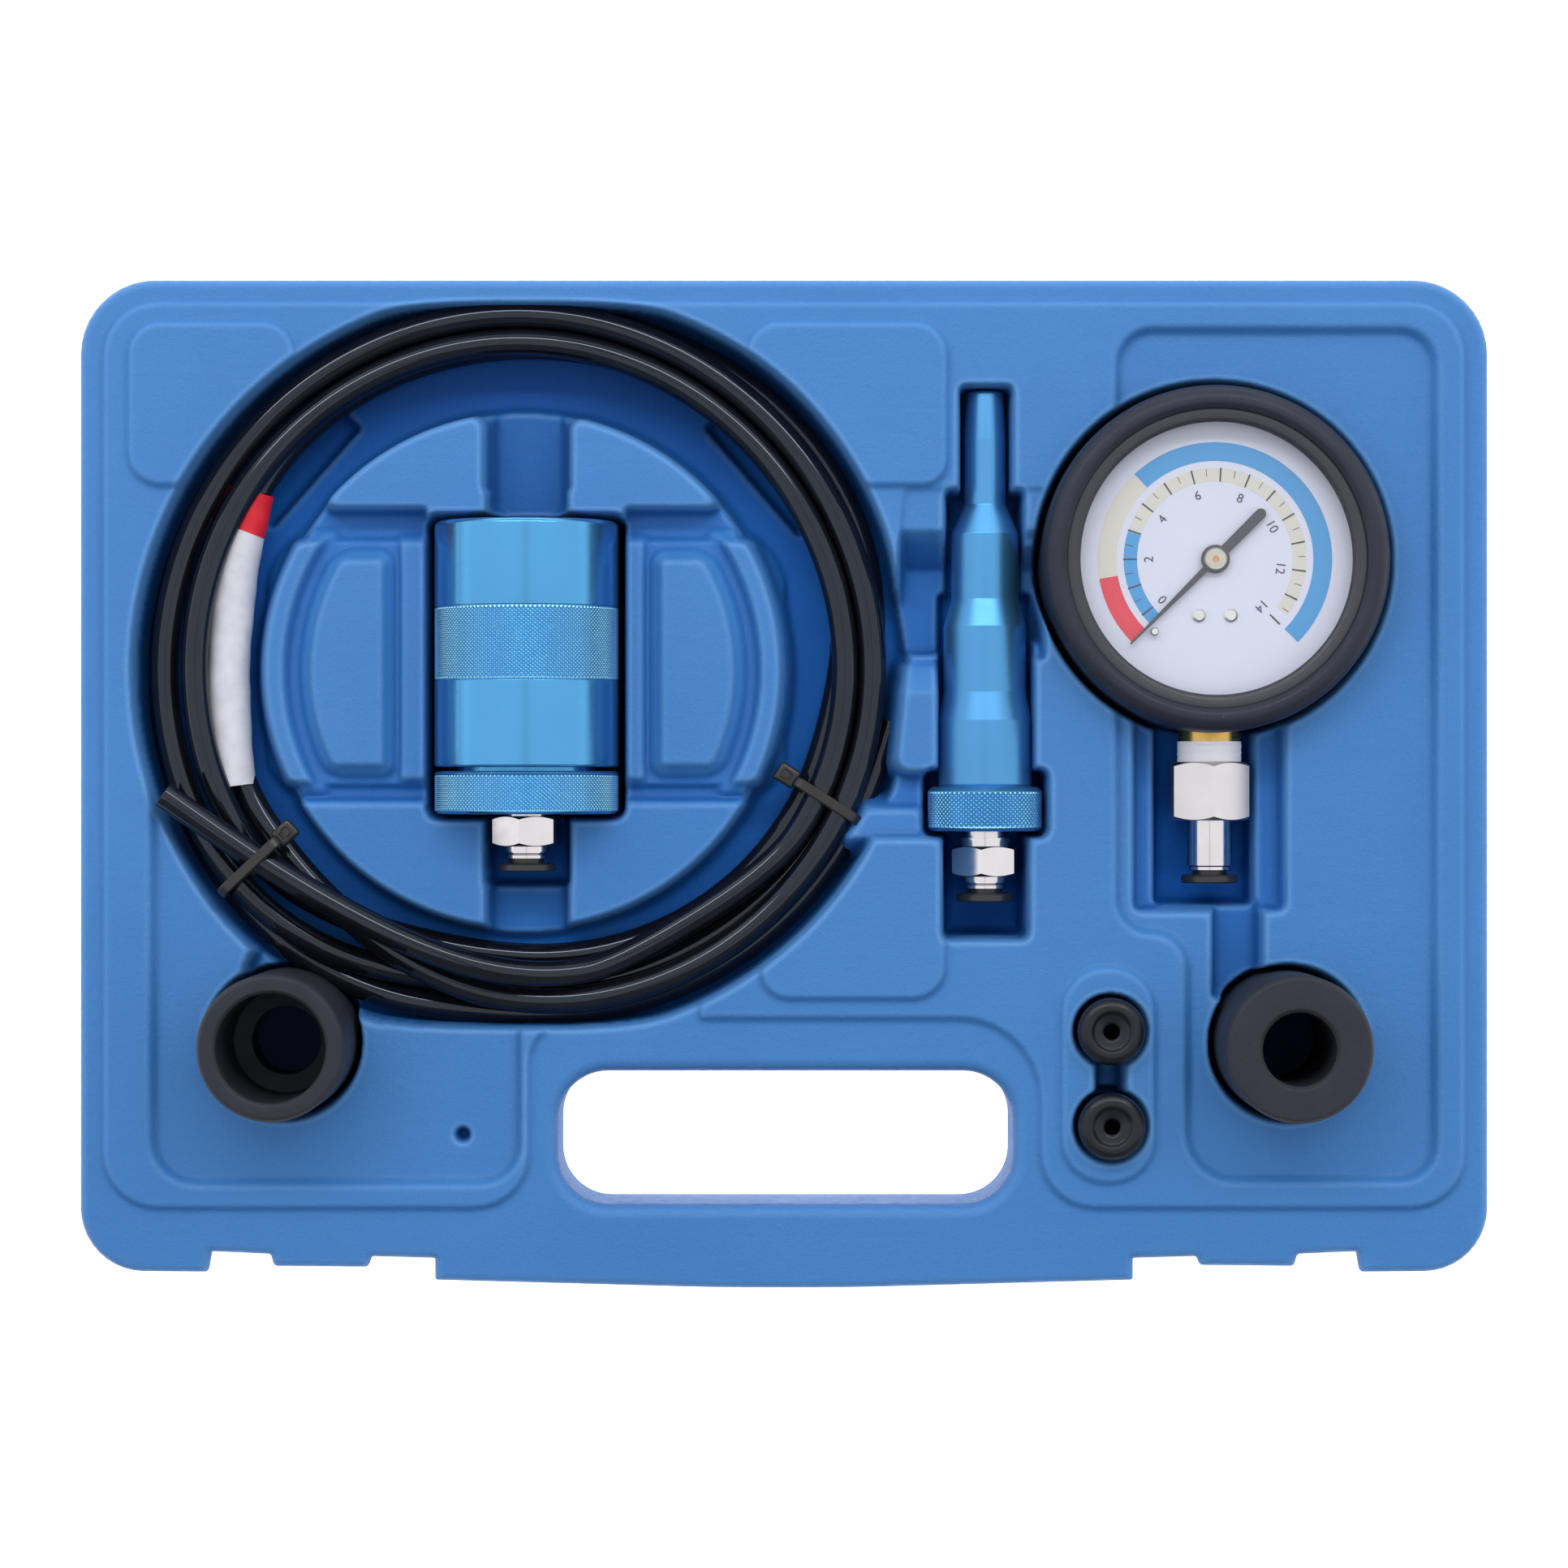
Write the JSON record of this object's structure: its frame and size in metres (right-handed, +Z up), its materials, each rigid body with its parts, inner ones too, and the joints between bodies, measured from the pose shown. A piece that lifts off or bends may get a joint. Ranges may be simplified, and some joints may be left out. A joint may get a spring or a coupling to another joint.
{
  "type": "radiator pressure tester",
  "caption": "Cooling-system pressure tester: gauge, knurled coupling, stepped nozzle, rubber sleeves, plugs and a coiled hose in the tray of a blow-moulded case.",
  "frame": {"origin": "centre of the tray's outline, on the surface that it rests on", "axes": "+X to the right with the handle towards the user, +Y to the hinge side, +Z up"},
  "size_m": [0.3158, 0.2262, 0.0543],
  "materials": {
    "case_blue": "fine-grained moulded polyethylene, mid blue",
    "boot_rubber": "dusty dark grey rubber",
    "case_steel": "black enamel on pressed steel",
    "bezel_black": "satin black",
    "lens_clear": "clear moulded lens",
    "dial_white": "white printed aluminium with coloured scales",
    "screw_steel": "bright steel",
    "brass": "machined brass",
    "phosphor_bronze": "drawn bronze",
    "pointer_black": "satin black",
    "nickel": "bright nickel plate",
    "ptfe_white": "white thread tape",
    "anodised_blue": "light blue anodised aluminium, turned and knurled",
    "sleeve_rubber": "matt charcoal rubber",
    "seal_rubber": "black nitrile",
    "spring_steel": "stainless spring steel",
    "collet_black": "black acetal",
    "hose_black": "glossy black polyurethane hose",
    "tie_nylon": "black nylon",
    "paper": "white paper with a plain red band"
  },
  "bodies": {
    "tray": {"case_tray": "case_blue"},
    "gauge": {"gauge_boot": "boot_rubber", "gauge_case": "case_steel", "gauge_bezel": "bezel_black", "gauge_lens": "lens_clear", "stem_block": "brass", "dial_plate": "dial_white", "dial_screws": "screw_steel", "stop_pin": "screw_steel", "bourdon_tube": "phosphor_bronze", "bourdon_tip": "brass", "movement_bottom_plate": "brass", "movement_top_plate": "brass", "movement_pillars": "brass", "hairspring": "phosphor_bronze", "gauge_back_screws": "screw_steel", "ptfe_tape": "ptfe_white", "hex_adapter": "nickel", "gauge_fitting_body": "nickel", "gauge_fitting_oring": "seal_rubber", "gauge_fitting_grip_ring": "spring_steel"},
    "sector": {"sector_gear": "brass"},
    "pointer": {"pinion_arbor": "screw_steel", "pointer": "pointer_black", "pointer_hub": "nickel"},
    "link": {"link": "brass"},
    "gauge_collet": {"gauge_fitting_collet": "collet_black"},
    "coupling": {"coupling_body": "anodised_blue", "coupling_sleeve": "sleeve_rubber", "coupling_thrust_ring": "nickel"},
    "cap": {"coupling_cap": "anodised_blue", "coupling_seal_washer": "sleeve_rubber", "coupling_fitting_body": "nickel", "coupling_fitting_oring": "seal_rubber", "coupling_fitting_grip_ring": "spring_steel"},
    "coupling_collet": {"coupling_fitting_collet": "collet_black"},
    "nozzle": {"step_nozzle": "anodised_blue", "nozzle_fitting_body": "nickel", "nozzle_fitting_oring": "seal_rubber", "nozzle_fitting_grip_ring": "spring_steel"},
    "nozzle_collet": {"nozzle_fitting_collet": "collet_black"},
    "wide_sleeve": {"large_sleeve": "sleeve_rubber"},
    "narrow_sleeve": {"small_sleeve": "sleeve_rubber"},
    "rear_plug": {"plug_rear": "sleeve_rubber"},
    "front_plug": {"plug_front": "sleeve_rubber"},
    "hose": {"hose_coil": "hose_black", "hose_free_end": "hose_black", "cable_tie_left": "tie_nylon", "cable_tie_right": "tie_nylon", "leaflet": "paper"}
  },
  "joints": [
    {"name": "gauge_lift", "type": "slide", "parent": "tray", "child": "gauge", "axis": [0, 0, 1], "range_m": [0, 0.06]},
    {"name": "coupling_lift", "type": "slide", "parent": "tray", "child": "coupling", "axis": [0, 0, 1], "range_m": [0, 0.06]},
    {"name": "nozzle_lift", "type": "slide", "parent": "tray", "child": "nozzle", "axis": [0, 0, 1], "range_m": [0, 0.06]},
    {"name": "wide_sleeve_lift", "type": "slide", "parent": "tray", "child": "wide_sleeve", "axis": [0, 0, 1], "range_m": [0, 0.06]},
    {"name": "narrow_sleeve_lift", "type": "slide", "parent": "tray", "child": "narrow_sleeve", "axis": [0, 0, 1], "range_m": [0, 0.06]},
    {"name": "rear_plug_lift", "type": "slide", "parent": "tray", "child": "rear_plug", "axis": [0, 0, 1], "range_m": [0, 0.04]},
    {"name": "front_plug_lift", "type": "slide", "parent": "tray", "child": "front_plug", "axis": [0, 0, 1], "range_m": [0, 0.04]},
    {"name": "hose_lift", "type": "slide", "parent": "tray", "child": "hose", "axis": [0, 0, 1], "range_m": [0, 0.06]},
    {"name": "sector_turn", "type": "hinge", "parent": "gauge", "child": "sector", "pos_m": [0.08156, 0.03988, 0.0266], "axis": [0, 0, 1], "range_deg": [0, 30]},
    {"name": "pointer_turn", "type": "hinge", "parent": "gauge", "child": "pointer", "pos_m": [0.0963, 0.0502, 0.0345], "axis": [0, 0, -1], "range_deg": [0, 270.5]},
    {"name": "link_swing", "type": "hinge", "parent": "sector", "child": "link", "pos_m": [0.07479, 0.04169, 0.026], "axis": [0, 0, 1], "range_deg": [-30.5, 0.5]},
    {"name": "gauge_collet_press", "type": "slide", "parent": "gauge", "child": "gauge_collet", "axis": [0, 1, 0], "range_m": [0, 0.0008], "stiffness_N_per_m": 50},
    {"name": "cap_turn", "type": "hinge", "parent": "coupling", "child": "cap", "pos_m": [-0.058, 0, 0.025], "axis": [0, 1, 0], "range_deg": [0, 240]},
    {"name": "coupling_collet_press", "type": "slide", "parent": "cap", "child": "coupling_collet", "axis": [0, 1, 0], "range_m": [0, 0.0008], "stiffness_N_per_m": 50},
    {"name": "nozzle_collet_press", "type": "slide", "parent": "nozzle", "child": "nozzle_collet", "axis": [0, 1, 0], "range_m": [0, 0.0008], "stiffness_N_per_m": 50}
  ],
  "couplings": [
    {"joint": "pointer_turn", "follows": "sector_turn", "ratio": 9},
    {"joint": "link_swing", "follows": "sector_turn", "ratio": -1}
  ]
}
